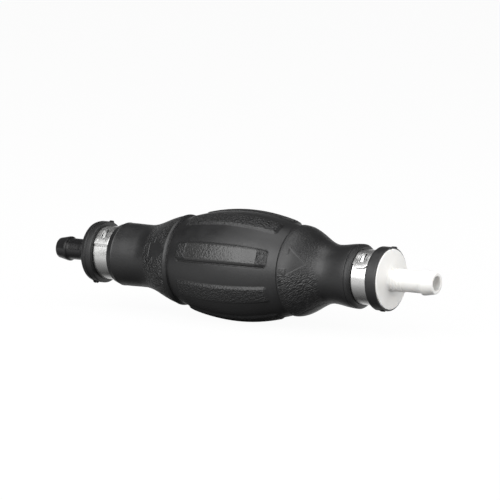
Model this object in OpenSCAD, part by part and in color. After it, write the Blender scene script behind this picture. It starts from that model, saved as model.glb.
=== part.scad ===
// Siphon bulb pump: a squeeze bulb between two hose barbs, with a spring check valve in each neck.
// X runs along the flow, from the inlet barb to the outlet barb. Z is up.
// The origin is on the axis, halfway between the two barb tips.

/* [Bulb] */
// Diameter over the pads of the barrel
barrel_d = 50.2; // [46:0.2:56]
// Length of the raised barrel
barrel_len = 59; // [50:0.5:66]
// Lengthwise radius of the barrel's crown
crown_r = 90; // [75:1:150]
// Thickness of the rubber wall
wall_t = 3.2; // [2.4:0.1:4]
// Length of the shoulder on the inlet side
inlet_shoulder_len = 22.4; // [16:0.2:30]
// Length of the shoulder on the outlet side
outlet_shoulder_len = 19.4; // [15:0.2:30]
// Length of the neck on the inlet side
inlet_neck_len = 14.2; // [12:0.2:24]
// Length of the neck on the outlet side
outlet_neck_len = 13.3; // [12:0.2:24]
// Diameter of the inlet neck
inlet_neck_d = 28.3; // [27:0.1:32]
// Width of the raised band on the inlet neck, beside its clamp
neck_band_w = 8.4; // [4:0.2:10]
// Height of that band
neck_band_h = 0.3; // [0.1:0.05:0.8]
// Diameter of the outlet neck at its waist
outlet_waist_d = 26.2; // [25:0.2:32]
// Diameter of the outlet neck beside its clamp
outlet_neck_d = 28.6; // [27:0.2:32]
// Diameter of the rubber collar at each end
collar_d = 28; // [27.5:0.1:32]
// Width of the rubber collar at each end
collar_w = 5.6; // [4:0.2:9]
// Thickness of the rubber that each clamp squeezes
grip_t = 2.6; // [2:0.1:3.2]
// How far each shoulder's edge stands above the crown of the pads
shoulder_rise = 0.15; // [0:0.05:0.6]

/* [Bulb relief] */
// Number of raised pads around the barrel
pad_count = 8; // [4:1:9]
// Width of one pad around the barrel, in degrees
pad_deg = 21; // [10:1:30]
// Length of a pad
pad_len = 45; // [30:1:48]
// Height of a pad above the channels between the pads
pad_h = 0.95; // [0.4:0.05:1.4]
// Angle of the badge pad and the flow arrows above the horizontal, in degrees
badge_angle = 20; // [0:1:45]
// Length of the bare badge
badge_len = 37; // [20:1:42]
// Depth of the badge in its pad
badge_depth = 0.25; // [0.1:0.05:0.6]
// Depth of the flow arrows in the shoulders
arrow_depth = 0.35; // [0.2:0.05:0.6]
// Width of an arrow's head
arrow_w = 12.4; // [8:0.2:14]
// Length of an arrow's head
arrow_head = 7.6; // [5:0.2:9]
// Length of an arrow's stem
arrow_stem = 3; // [2:0.2:4]
// Width of an arrow's stem
arrow_stem_w = 6.6; // [4:0.2:7]

/* [Hose fittings] */
// Length of the inlet barb outside the bulb
inlet_barb_len = 20.5; // [18:0.5:35]
// Length of the outlet barb outside the bulb
outlet_barb_len = 22.5; // [18:0.5:35]
// Diameter over the crest of a barb
crest_d = 11.2; // [10.8:0.1:12.4]
// Diameter of a barb's stem
stem_d = 9.7; // [9:0.1:10.4]
// Diameter of the waterway through a barb
bore_d = 6.4; // [5:0.1:7]
// Thickness of the rubber lip around each fitting's disk
lip_t = 0.75; // [0.5:0.05:1.5]
// Thickness of a fitting's disk
disk_t = 3; // [2:0.1:3.6]
// Diameter of the plug inside the neck
plug_d = 18; // [17.6:0.1:18.8]
// Length of the plug beyond the disk
plug_len = 22; // [21.5:0.1:24]
// Height of the grip ribs on the plug
rib_h = 0.4; // [0.2:0.05:0.6]

/* [Check valves] */
// Diameter of the valve chamber in each plug
chamber_d = 14; // [13.4:0.1:14.4]
// Thickness of a valve seat ring
seat_t = 4; // [3.4:0.1:4.4]
// Diameter of the waterway through a seat ring
seat_bore_d = 8; // [7.2:0.1:8.8]
// Section diameter of the seat's O-ring
oring_t = 1.3; // [1:0.05:1.6]
// Diameter of a poppet's disc
poppet_d = 11.2; // [10.6:0.1:11.8]
// Thickness of a poppet's disc
poppet_t = 1.4; // [1:0.1:1.8]
// Thickness of the rubber face seal
seal_t = 1.2; // [0.8:0.1:1.5]
// Diameter of a poppet's guide pin
pin_d = 3; // [2.4:0.1:3.2]
// How far a poppet opens
valve_travel = 2.4; // [1.5:0.1:2.8]
// Length of a spring with its valve closed
spring_len = 7.4; // [6.8:0.1:7.8]
// Wire diameter of a spring
wire_d = 0.5; // [0.4:0.05:0.6]
// Number of turns in a spring
spring_turns = 6; // [4:1:8]
// Thickness of the guide that backs a spring
guide_t = 2.5; // [2:0.1:2.8]
// Number of spokes in a guide
spoke_count = 4; // [3:1:6]

/* [Clamps] */
// Width of a clamp's band
band_w = 8; // [6:0.2:9]
// Gap on each side of a clamp's band
band_gap = 0.2; // [0.1:0.1:1]
// Thickness of a clamp's strip
band_t = 0.55; // [0.4:0.05:0.8]
// Angle of the clamps' slots above the horizontal, in degrees
clamp_angle = 50; // [0:5:90]
// From a slot's middle to the free end of its tongue, in degrees around the band
tongue_end_deg = 24; // [20:1:32]
// From a slot's middle to the root of its tongue, in degrees around the band
tongue_root_deg = 31; // [24:1:45]
// Length of the slot in the tongue, around the band
slot_len = 5; // [3:0.1:6]
// Width of the slot in the tongue
slot_w = 2.2; // [1.5:0.1:3]

/* [Hidden] */
$fn = 96;

// Small sizes that belong to how the pieces are moulded
edge = 0.4;             // chamfer on rubber and plastic rims
groove_w = 0.5;         // fine grooves on the necks and collars
groove_depth = 0.35;
nub = 0.8;              // mould nub on a collar, at the parting line
nub_h = 0.3;
slope_w = 0.8;          // run of the slopes at the barrel's ends and the pads' ends
ring_w = 0.6;           // fine rings on a barb's stem
ring_h = 0.22;
ring_pitch = 1.5;
ring_count = 4;
land_w = 0.8;           // straight land on a barb's crest
nose_len = 5;           // taper from the crest to the tip
nose_drop = 1;          // how much the taper takes off the radius
barb_back = 0.6;        // length of the barb's back slope
running_gap = 0.05;     // guide pin in its guide, radial
stop_gap = 0.05;        // left between poppet and guide at full travel
mouth_gap = 0.8;        // from a chamber's mouth to what is pressed into it
overlap = 0.01;         // makes cutters pass through the faces they cut
segments = 14;          // points along one smooth curve of an outline

barrel_r = barrel_d / 2;
disk_d = collar_d - 2 * lip_t;
plug_r = plug_d / 2;
chamber_r = chamber_d / 2;
bore_r = bore_d / 2;
grip_r = plug_r + grip_t;
zone_w = band_w + 2 * band_gap;

// Stations along X
bulb_len = 2 * collar_w + 2 * zone_w + inlet_neck_len + inlet_shoulder_len + barrel_len
    + outlet_shoulder_len + outlet_neck_len;
overall_len = inlet_barb_len + bulb_len + outlet_barb_len;
inlet_end_x = -overall_len / 2 + inlet_barb_len;
inlet_zone_x = inlet_end_x + collar_w;
inlet_neck_x = inlet_zone_x + zone_w;
inlet_shoulder_x = inlet_neck_x + inlet_neck_len;
barrel_x = inlet_shoulder_x + inlet_shoulder_len;
outlet_shoulder_x = barrel_x + barrel_len;
waist_x = outlet_shoulder_x + outlet_shoulder_len;
outlet_zone_x = waist_x + outlet_neck_len;
outlet_collar_x = outlet_zone_x + zone_w;
outlet_end_x = outlet_collar_x + collar_w;
barrel_mid_x = barrel_x + barrel_len / 2;

// Check valves, counted along the flow from each seat ring's inlet face
seal_u = seat_t;
disc_u = seal_u + seal_t;
spring_u = disc_u + poppet_t;
guide_u = spring_u + spring_len;
valve_len = guide_u + guide_t;
hub_len = guide_t + 1.5;
inlet_valve_x = inlet_end_x + disk_t + plug_len - mouth_gap - (hub_len - guide_t) - valve_len;
outlet_valve_x = outlet_end_x - disk_t - plug_len + mouth_gap;
hub_r = pin_d / 2 + 1.4;
spring_r = pin_d / 2 + 1;
cone_len = 2.5;         // funnel between a barb's bore and the valve chamber

// Radius of the barrel's crown at x
function crown(x) = barrel_r - (crown_r - sqrt(pow(crown_r, 2) - pow(x - barrel_mid_x, 2)));

// Points of a smooth S from one radius to another
function s_curve(x0, r0, x1, r1) = [
    for (i = [0:segments])
        let (t = i / segments)
        [x0 + (x1 - x0) * t, r0 + (r1 - r0) * (1 - cos(180 * t)) / 2]
];

function crown_curve(x0, x1, drop) = [
    for (i = [0:2 * segments])
        let (x = x0 + (x1 - x0) * i / (2 * segments))
        [x, crown(x) - drop]
];

// A square groove cut into radius r, starting at x
function groove(x, r) = [
    [x, r], [x, r - groove_depth], [x + groove_w, r - groove_depth], [x + groove_w, r]
];

function shoulder_edge_r(x) = crown(x) + shoulder_rise;
function hollow_r(x) = crown(x) - pad_h - wall_t;

// A solid of revolution about X from points given as [x, radius]
module turned(points, angle = 360)
    rotate([0, 90, 0])
        rotate([0, 0, 180 - angle / 2])
            rotate_extrude(angle = angle)
                polygon([for (p = points) [p[1], p[0]]]);

// Puts children made at +Z at an angle above the horizontal, on the side that faces -Y
module around(angle)
    rotate([90 - angle, 0, 0])
        children();

// A flat shape in X and Y, raised along Z to cut through or stand on a curved wall
module raised(points, from, to)
    translate([0, 0, from])
        linear_extrude(to - from)
            polygon(points);

neck_band_r = inlet_neck_d / 2 + neck_band_h;
inlet_shoulder_line = s_curve(
    inlet_shoulder_x, inlet_neck_d / 2, barrel_x, shoulder_edge_r(barrel_x));
outlet_shoulder_line = s_curve(
    outlet_shoulder_x, shoulder_edge_r(outlet_shoulder_x), waist_x, outlet_waist_d / 2);
neck_flare_x = outlet_zone_x - 3 * groove_w - 3 * 1.2;

bulb_outline = concat(
    [[inlet_end_x, collar_d / 2 - edge], [inlet_end_x + edge, collar_d / 2]],
    groove(inlet_end_x + collar_w / 2 - groove_w, collar_d / 2),
    [[inlet_zone_x, collar_d / 2], [inlet_zone_x, grip_r], [inlet_neck_x, grip_r],
     [inlet_neck_x, neck_band_r - edge], [inlet_neck_x + edge, neck_band_r]],
    groove(inlet_neck_x + 1.4, neck_band_r),
    [[inlet_neck_x + neck_band_w - edge, neck_band_r],
     [inlet_neck_x + neck_band_w + edge, inlet_neck_d / 2]],
    inlet_shoulder_line,
    crown_curve(barrel_x + slope_w, outlet_shoulder_x - slope_w, pad_h),
    outlet_shoulder_line,
    s_curve(waist_x, outlet_waist_d / 2, neck_flare_x, outlet_neck_d / 2),
    [for (i = [0:2]) each groove(neck_flare_x + 0.6 + i * (groove_w + 1.2), outlet_neck_d / 2)],
    [[outlet_zone_x, outlet_neck_d / 2], [outlet_zone_x, grip_r],
     [outlet_collar_x, grip_r], [outlet_collar_x, collar_d / 2],
     [outlet_end_x - edge, collar_d / 2], [outlet_end_x, collar_d / 2 - edge]]
);

// The plug's outline from the disk inward, as [distance, radius]; both fittings and both necks use it
rib_pitch = zone_w / 3;
rib_start = collar_w - disk_t;
plug_outline = concat(
    [[0, plug_r]],
    [for (i = [0:2])
        let (d = rib_start + i * rib_pitch + 0.3)
        each [[d, plug_r], [d + rib_pitch / 2, plug_r + rib_h], [d + rib_pitch / 2, plug_r]]],
    [[plug_len, plug_r]]
);

neck_bore_len = disk_t + plug_len + 1.5;
inlet_bore_x = inlet_end_x + neck_bore_len;
outlet_bore_x = outlet_end_x - neck_bore_len;

function mirrored(points) = [for (i = [len(points) - 1:-1:0]) points[i]];

bulb_hollow = concat(
    [[inlet_end_x - overlap, 0], [inlet_end_x - overlap, disk_d / 2],
     [inlet_end_x + disk_t, disk_d / 2]],
    [for (p = plug_outline) [inlet_end_x + disk_t + p[0], p[1]]],
    s_curve(inlet_bore_x, plug_r, barrel_x, hollow_r(barrel_x)),
    crown_curve(barrel_x, outlet_shoulder_x, pad_h + wall_t),
    s_curve(outlet_shoulder_x, hollow_r(outlet_shoulder_x), outlet_bore_x, plug_r),
    [for (p = mirrored(plug_outline)) [outlet_end_x - disk_t - p[0], p[1]]],
    [[outlet_end_x - disk_t, disk_d / 2], [outlet_end_x + overlap, disk_d / 2],
     [outlet_end_x + overlap, 0]]
);

pad_x = barrel_mid_x - pad_len / 2 + 0.6;

// A pad on the barrel, sloped at its two ends
module pad()
    turned(concat(
        [[pad_x, crown(pad_x) - pad_h - 1]],
        [[pad_x, crown(pad_x) - pad_h]],
        crown_curve(pad_x + slope_w, pad_x + pad_len - slope_w, 0),
        [[pad_x + pad_len, crown(pad_x + pad_len) - pad_h],
         [pad_x + pad_len, crown(pad_x + pad_len) - pad_h - 1]]), pad_deg);

// Cuts the smooth panel into a pad
module badge_cut() {
    x0 = pad_x + (pad_len - badge_len) / 2;
    turned(concat(
        crown_curve(x0, x0 + badge_len, badge_depth),
        [[x0 + badge_len, barrel_r + 1], [x0, barrel_r + 1]]), pad_deg - 3);
}

// Flow arrow that points along +X, its tail at x
function arrow(x) = [
    [x, -arrow_stem_w / 2], [x + arrow_stem, -arrow_stem_w / 2], [x + arrow_stem, -arrow_w / 2],
    [x + arrow_stem + arrow_head, 0],
    [x + arrow_stem, arrow_w / 2], [x + arrow_stem, arrow_stem_w / 2], [x, arrow_stem_w / 2]
];

// Cuts the arrow into a shoulder
module arrow_cut(x, shoulder_line)
    intersection() {
        turned(concat(
            [for (p = shoulder_line) [p[0], p[1] + 2]],
            [for (p = mirrored(shoulder_line)) [p[0], p[1] - arrow_depth]]), 90);
        raised(arrow(x), 0, barrel_r);
    }

module mould_nub(x)
    translate([x, -nub / 2, collar_d / 2 - 1])
        cube([collar_w / 2 - groove_w, nub, 1 + nub_h]);

module bulb()
    color("#28282a")
        difference() {
            union() {
                turned(concat([[inlet_end_x, 0]], bulb_outline, [[outlet_end_x, 0]]));
                for (i = [0:pad_count - 1])
                    around(badge_angle + i * 360 / pad_count)
                        pad();
                for (side = [90, 270])
                    around(badge_angle + side) {
                        mould_nub(inlet_end_x + edge);
                        mould_nub(outlet_end_x - edge - (collar_w / 2 - groove_w));
                    }
            }
            around(badge_angle) {
                badge_cut();
                arrow_cut(barrel_x - 1 - arrow_head - arrow_stem, inlet_shoulder_line);
                arrow_cut(outlet_shoulder_x + 1, outlet_shoulder_line);
            }
            turned(bulb_hollow);
        }

// A barb's outline from the disk's outer face to its tip, as [distance, radius]
function barb_outline(barb_len) = concat(
    [[0, stem_d / 2 + edge], [edge, stem_d / 2]],
    [for (i = [0:ring_count - 1])
        let (d = 1.8 + i * ring_pitch)
        each [[d, stem_d / 2], [d + 0.15, stem_d / 2 + ring_h],
              [d + ring_w - 0.15, stem_d / 2 + ring_h], [d + ring_w, stem_d / 2]]],
    [[barb_len - nose_len - land_w - barb_back, stem_d / 2],
     [barb_len - nose_len - land_w, crest_d / 2],
     [barb_len - nose_len, crest_d / 2],
     [barb_len - edge, crest_d / 2 - nose_drop],
     [barb_len, crest_d / 2 - nose_drop - edge]]
);

// One fitting in its own frame: the disk's inner face is at 0, the barb points along +X
module fitting_body(barb_len)
    turned(concat(
        [[-plug_len, 0]],
        [for (p = mirrored(plug_outline)) [-p[0], p[1]]],
        [[0, disk_d / 2], [disk_t - edge / 2, disk_d / 2], [disk_t, disk_d / 2 - edge / 2]],
        [for (p = barb_outline(barb_len)) [disk_t + p[0], p[1]]],
        [[disk_t + barb_len, 0]]));

module along(from, to, r)
    translate([from, 0, 0])
        rotate([0, 90, 0])
            cylinder(h = to - from, r = r);

// Waterway of the inlet: bore, funnel, then the chamber that takes the valve from its far end
module inlet_fitting()
    color("#1c1c1d")
        difference() {
            translate([inlet_end_x + disk_t, 0, 0])
                mirror([1, 0, 0])
                    fitting_body(inlet_barb_len);
            along(inlet_end_x - inlet_barb_len - 1, inlet_valve_x, bore_r);
            turned([[inlet_valve_x - cone_len, 0], [inlet_valve_x - cone_len, bore_r],
                [inlet_valve_x, seat_bore_d / 2], [inlet_valve_x + overlap, seat_bore_d / 2],
                [inlet_valve_x + overlap, 0]]);
            along(inlet_valve_x, inlet_end_x + disk_t + plug_len + 1, chamber_r);
        }

outlet_stop_x = outlet_valve_x + valve_len;
relief_r = chamber_r - 1.4;
relief_x = outlet_stop_x + hub_len - guide_t + valve_travel - 0.4;

// Waterway of the outlet: the chamber, room for the guide's hub, a funnel, then the bore
module outlet_fitting()
    color("#f0efec")
        difference() {
            translate([outlet_end_x - disk_t, 0, 0])
                fitting_body(outlet_barb_len);
            along(outlet_end_x - disk_t - plug_len - 1, outlet_stop_x, chamber_r);
            along(outlet_stop_x - overlap, relief_x, relief_r);
            turned([[relief_x - overlap, 0], [relief_x - overlap, relief_r], [relief_x, relief_r],
                [relief_x + cone_len, bore_r], [relief_x + cone_len, 0]]);
            along(relief_x + cone_len - overlap, outlet_end_x + outlet_barb_len + 1, bore_r);
        }

oring_r = chamber_r - oring_t / 2;
oring_mid = seat_t / 2;

module valve_seat(x)
    color("#e6e3da")
        translate([x, 0, 0])
            turned([
                [0, seat_bore_d / 2], [0, chamber_r],
                [oring_mid - oring_t / 2 - 0.1, chamber_r],
                [oring_mid - oring_t / 2 - 0.1, chamber_r - oring_t],
                [oring_mid + oring_t / 2 + 0.1, chamber_r - oring_t],
                [oring_mid + oring_t / 2 + 0.1, chamber_r],
                [seat_t, chamber_r], [seat_t, seat_bore_d / 2]
            ]);

module seat_oring(x)
    color("#1f1f20")
        translate([x + oring_mid, 0, 0])
            rotate([0, 90, 0])
                rotate_extrude()
                    translate([oring_r, 0])
                        circle(r = oring_t / 2 - overlap, $fn = 32);

button_r = pin_d / 2 + 1;
button_t = 0.8;
collar_top = guide_u - valve_travel - stop_gap;

module poppet(x)
    color("#e6e3da")
        translate([x, 0, 0])
            turned([
                [seal_u - button_t, 0], [seal_u - button_t, button_r - 0.3],
                [seal_u - button_t + 0.3, button_r], [seal_u, button_r], [seal_u, pin_d / 2],
                [disc_u, pin_d / 2], [disc_u, poppet_d / 2], [spring_u, poppet_d / 2],
                [spring_u, spring_r - wire_d / 2 - 0.15], [collar_top, spring_r - wire_d / 2 - 0.15],
                [collar_top, pin_d / 2], [valve_len - 0.8, pin_d / 2],
                [valve_len - 0.5, pin_d / 2 - 0.3], [valve_len - 0.5, 0]
            ]);

module poppet_seal(x)
    color("#2a2a2b")
        translate([x, 0, 0])
            turned([
                [seal_u, pin_d / 2], [seal_u, poppet_d / 2 - 0.2],
                [disc_u, poppet_d / 2 - 0.2], [disc_u, pin_d / 2]
            ]);

spring_rings = 8;       // per turn
wire_sides = 6;

// A coil as one unbroken tube: rings of points around a helix, closed at both ends
module coil_spring(x) {
    steps = spring_turns * spring_rings;
    rise = spring_len - wire_d;
    points = [
        for (i = [0:steps])
            let (turn = 360 * i / spring_rings, along_x = wire_d / 2 + rise * i / steps)
            for (j = [0:wire_sides - 1])
                let (a = 360 * j / wire_sides, r = spring_r + wire_d / 2 * cos(a))
                [along_x + wire_d / 2 * sin(a), r * cos(turn), r * sin(turn)]
    ];
    faces = concat(
        [for (i = [0:steps - 1]) for (j = [0:wire_sides - 1])
            let (a = i * wire_sides + j, b = i * wire_sides + (j + 1) % wire_sides)
            each [[a, a + wire_sides, b + wire_sides], [a, b + wire_sides, b]]],
        [for (j = [1:wire_sides - 2]) [0, j, j + 1]],
        [for (j = [1:wire_sides - 2]) [for (k = [j + 1, j, 0]) steps * wire_sides + k]]
    );
    echo(str("spring gap between turns: ", rise / spring_turns - wire_d));
    color("#b9bcc0")
        translate([x + spring_u, 0, 0])
            polyhedron(points, faces);
}

rim_t = 1.5;
spoke_deg = 22;
hub_foot = 0.5;

// Rim pressed into the chamber and hub for the guide pin; the windows cut between them leave the spokes
module spring_guide(x)
    color("#e6e3da")
        translate([x + guide_u, 0, 0])
            difference() {
                turned([[0, 0], [0, chamber_r], [guide_t, chamber_r], [guide_t, hub_r],
                    [hub_len, hub_r], [hub_len, 0]]);
                for (i = [0:spoke_count - 1])
                    around(i * 360 / spoke_count)
                        turned([[-1, hub_r + hub_foot], [-1, chamber_r - rim_t],
                            [guide_t + 1, chamber_r - rim_t], [guide_t + 1, hub_r + hub_foot]],
                            360 / spoke_count - spoke_deg);
                along(-1, hub_len + 1, pin_d / 2 + running_gap);
            }

band_r = grip_r + band_t;
tongue_r = band_r + band_t;
free_y = -tongue_r * sin(tongue_end_deg);
root_y = tongue_r * sin(tongue_root_deg);
hook_h = 0.25;          // how far the hook stands out of its slot
hook_gap = 0.3;         // on each side of the hook in its slot

// A strip clamp: the band, its overlapping tongue with clipped corners, and the hook in its slot.
// The tongue's free end points down around the band where lead is 1, and up where it is -1.
module strip_clamp(x, lead) {
    half = band_w / 2;
    clip = band_w / 4;
    color("#c3c6c9")
        translate([x, 0, 0])
            around(clamp_angle) {
                difference() {
                    union() {
                        turned([[-half, grip_r], [-half, band_r], [half, band_r], [half, grip_r]]);
                        intersection() {
                            turned([[-half, band_r - band_t / 4], [-half, tongue_r],
                                [half, tongue_r], [half, band_r - band_t / 4]], 120);
                            raised([
                                [-half, lead * root_y], [half, lead * root_y],
                                [half, lead * (free_y + clip)], [half - clip, lead * free_y],
                                [clip - half, lead * free_y], [-half, lead * (free_y + clip)]
                            ], 0, tongue_r + 1);
                        }
                    }
                    intersection() {
                        turned([[-half, band_r], [-half, tongue_r + 1],
                            [half, tongue_r + 1], [half, band_r]], 120);
                        raised([[-slot_w / 2, -slot_len / 2], [slot_w / 2, -slot_len / 2],
                            [slot_w / 2, slot_len / 2], [-slot_w / 2, slot_len / 2]], 0, tongue_r + 2);
                    }
                }
                translate([-slot_w / 2 + hook_gap, -slot_len / 4, band_r - band_t / 2])
                    cube([slot_w - 2 * hook_gap, slot_len / 2, band_t * 1.5 + hook_h]);
            }
}

module inlet_clamp() strip_clamp((inlet_zone_x + inlet_neck_x) / 2, -1);
module outlet_clamp() strip_clamp((outlet_zone_x + outlet_collar_x) / 2, 1);

module inlet_seat() valve_seat(inlet_valve_x);
module inlet_seat_oring() seat_oring(inlet_valve_x);
module inlet_poppet() poppet(inlet_valve_x);
module inlet_poppet_seal() poppet_seal(inlet_valve_x);
module inlet_spring() coil_spring(inlet_valve_x);
module inlet_spring_guide() spring_guide(inlet_valve_x);

module outlet_seat() valve_seat(outlet_valve_x);
module outlet_seat_oring() seat_oring(outlet_valve_x);
module outlet_poppet() poppet(outlet_valve_x);
module outlet_poppet_seal() poppet_seal(outlet_valve_x);
module outlet_spring() coil_spring(outlet_valve_x);
module outlet_spring_guide() spring_guide(outlet_valve_x);

bulb();
inlet_fitting();
outlet_fitting();
inlet_clamp();
outlet_clamp();
inlet_seat();
inlet_seat_oring();
inlet_poppet();
inlet_poppet_seal();
inlet_spring();
inlet_spring_guide();
outlet_seat();
outlet_seat_oring();
outlet_poppet();
outlet_poppet_seal();
outlet_spring();
outlet_spring_guide();
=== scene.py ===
import math

import bmesh
import bpy
import numpy as np
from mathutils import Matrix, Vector


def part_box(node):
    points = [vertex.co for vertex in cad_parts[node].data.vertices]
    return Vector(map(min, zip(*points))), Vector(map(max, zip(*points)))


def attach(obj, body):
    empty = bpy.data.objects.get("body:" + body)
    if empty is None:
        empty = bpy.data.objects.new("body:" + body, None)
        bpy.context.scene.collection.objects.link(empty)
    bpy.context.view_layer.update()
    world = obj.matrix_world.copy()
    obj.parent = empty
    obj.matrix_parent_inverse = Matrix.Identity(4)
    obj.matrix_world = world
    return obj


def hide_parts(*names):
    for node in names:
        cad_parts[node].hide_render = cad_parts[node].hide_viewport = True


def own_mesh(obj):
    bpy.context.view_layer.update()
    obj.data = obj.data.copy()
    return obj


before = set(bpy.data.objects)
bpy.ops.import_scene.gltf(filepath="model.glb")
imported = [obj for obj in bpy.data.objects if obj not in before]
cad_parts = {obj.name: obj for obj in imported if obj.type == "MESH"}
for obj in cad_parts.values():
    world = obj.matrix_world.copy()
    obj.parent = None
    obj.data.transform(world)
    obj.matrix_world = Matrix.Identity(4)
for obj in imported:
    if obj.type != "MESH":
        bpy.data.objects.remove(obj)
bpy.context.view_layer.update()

# Sizes in the dictionaries are millimetres and degrees. X runs along the flow, Z is up.
# Angles round the axis are measured from -Y, the front, up towards +Z.
mm = 0.001


def spanX(node):
    # where a solid starts and ends along the axis, in mm
    low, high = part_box(node)
    return round(low.x / mm, 2), round(high.x / mm, 2)


def toLinear(code):
    # sRGB hex to the linear colour that Blender's sockets take
    values = [int(code[i:i + 2], 16) / 255 for i in (1, 3, 5)]
    return tuple(v / 12.92 if v <= 0.04045 else ((v + 0.055) / 1.055) ** 2.4 for v in values) + (1.0,)


def addNode(tree, kind, settings=None, inputs=None, stops=None):
    # one node, its properties, its sockets' values or links, and a ramp's stops
    node = tree.nodes.new(kind)
    for key, value in (settings or {}).items():
        setattr(node, key, value)
    for key, value in (inputs or {}).items():
        if isinstance(value, bpy.types.NodeSocket):
            tree.links.new(value, node.inputs[key])
        else:
            node.inputs[key].default_value = value
    if stops:
        elements = node.color_ramp.elements
        while len(elements) > len(stops):
            elements.remove(elements[-1])
        while len(elements) < len(stops):
            elements.new(1.0)
        for element, (place, value) in zip(elements, stops):
            element.position = place
            element.color = toLinear(value)
    return node


def newMaterial(name):
    material = bpy.data.materials.new(name)
    material.use_nodes = True
    tree = material.node_tree
    tree.nodes.clear()
    shader = addNode(tree, "ShaderNodeBsdfPrincipled")
    addNode(tree, "ShaderNodeOutputMaterial", inputs={"Surface": shader.outputs["BSDF"]})
    place = addNode(tree, "ShaderNodeTexCoord")
    return material, tree, shader, place.outputs["Object"]


def setSockets(shader, values):
    for key, value in values.items():
        shader.inputs[key].default_value = value


def patternScale(size):
    # a texture's scale for features of that many mm, as its coordinates are metres
    return 1000 / size


def smoothStep(t):
    t = np.clip(t, 0, 1)
    return t * t * (3 - 2 * t)


def addMesh(name, points, faces, material, body, sharp=None):
    # closed mesh from points in mm, faces turned outward
    points = np.asarray(points, float)
    fans = np.array([(f[0], f[j], f[j + 1]) for f in faces for j in range(1, len(f) - 1)])
    a, b, c = (points[fans[:, k]] for k in range(3))
    if np.einsum("ij,ij->i", a, np.cross(b, c)).sum() < 0:
        faces = [tuple(reversed(face)) for face in faces]
    mesh = bpy.data.meshes.new(name)
    mesh.from_pydata((points * mm).tolist(), [], [tuple(int(i) for i in f) for f in faces])
    mesh.update()
    mesh.polygons.foreach_set("use_smooth", [True] * len(mesh.polygons))
    if sharp:
        mesh.set_sharp_from_angle(angle=math.radians(sharp))
    mesh.materials.append(material)
    piece = bpy.data.objects.new(name, mesh)
    bpy.context.scene.collection.objects.link(piece)
    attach(piece, body)
    return piece


def softOutline(corners, steps=4):
    # corners are [x, radius, fillet]; each fillet becomes an arc, the list is a closed loop
    out = []
    count = len(corners)
    for i in range(count):
        x, r, fillet = corners[i]
        here = np.array([x, r], float)
        if fillet <= 0:
            out.append(here)
            continue
        before = np.array(corners[i - 1][:2], float) - here
        after = np.array(corners[(i + 1) % count][:2], float) - here
        lengthA, lengthB = np.linalg.norm(before), np.linalg.norm(after)
        before, after = before / lengthA, after / lengthB
        corner = math.acos(max(-1, min(1, float(np.dot(before, after)))))
        if math.pi - corner < 0.03:  # all but straight, nothing to round
            out.append(here)
            continue
        run = min(fillet / math.tan(corner / 2), 0.45 * lengthA, 0.45 * lengthB)
        start, end = here + before * run, here + after * run
        for k in range(steps + 1):
            t = k / steps
            out.append((1 - t) ** 2 * start + 2 * t * (1 - t) * here + t * t * end)
    return np.array(out)


def sCurve(x0, r0, x1, r1, steps):
    return [[x0 + (x1 - x0) * i / steps, r0 + (r1 - r0) * (1 - math.cos(math.pi * i / steps)) / 2, 0]
            for i in range(steps + 1)]


def refine(outline, spacing):
    # extra points along a closed outline, so that no run is longer than spacing(x, r)
    out = []
    for i in range(len(outline)):
        a, b = outline[i], outline[(i + 1) % len(outline)]
        gap = np.linalg.norm(b - a)
        pieces = max(1, int(math.ceil(gap / spacing((a[0] + b[0]) / 2, (a[1] + b[1]) / 2) - 1e-6)))
        for k in range(pieces):
            out.append(a + (b - a) * k / pieces)
    return np.array(out)


def onAxis(x, r, angle):
    a = np.radians(angle)
    return np.stack(np.broadcast_arrays(x, -r * np.cos(a), r * np.sin(a)), axis=-1)


def turnFrom(angle, centre):
    # degrees from centre, between -180 and 180
    return (angle - centre + 180) % 360 - 180


def ringFaces(rows, columns):
    # quads of a grid that closes on itself both ways
    row, column = np.meshgrid(np.arange(rows), np.arange(columns), indexing="ij")
    nextRow, nextColumn = (row + 1) % rows, (column + 1) % columns
    quads = np.stack([row * columns + column, row * columns + nextColumn,
                      nextRow * columns + nextColumn, nextRow * columns + column], axis=-1)
    return [tuple(q) for q in quads.reshape(-1, 4).tolist()]


def lathe(name, outline, angles, material, body, relief=None):
    # a closed outline turned round the X axis; relief(x, r, angle) moves points along the radius
    angles = np.asarray(angles, float)
    x = np.repeat(outline[:, 0][:, None], len(angles), axis=1)
    r = np.repeat(outline[:, 1][:, None], len(angles), axis=1)
    turn = np.repeat(angles[None, :], len(outline), axis=0)
    if relief is not None:
        r = r + relief(x, r, turn)
    points = onAxis(x, r, turn).reshape(-1, 3)
    return addMesh(name, points, ringFaces(len(outline), len(angles)), material, body)


def cloudedGloss(tree, shader, place, size, detail, glossiest, dullest):
    # gloss that varies in soft clouds of that size; gives the clouds back
    cloud = addNode(tree, "ShaderNodeTexNoise", inputs={
        "Vector": place, "Scale": patternScale(size), "Detail": detail})
    sheen = addNode(tree, "ShaderNodeMapRange", inputs={
        "Value": cloud.outputs["Fac"], "From Min": 0.3, "From Max": 0.7,
        "To Min": glossiest, "To Max": dullest})
    tree.links.new(sheen.outputs["Result"], shader.inputs["Roughness"])
    return cloud.outputs["Fac"]


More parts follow.
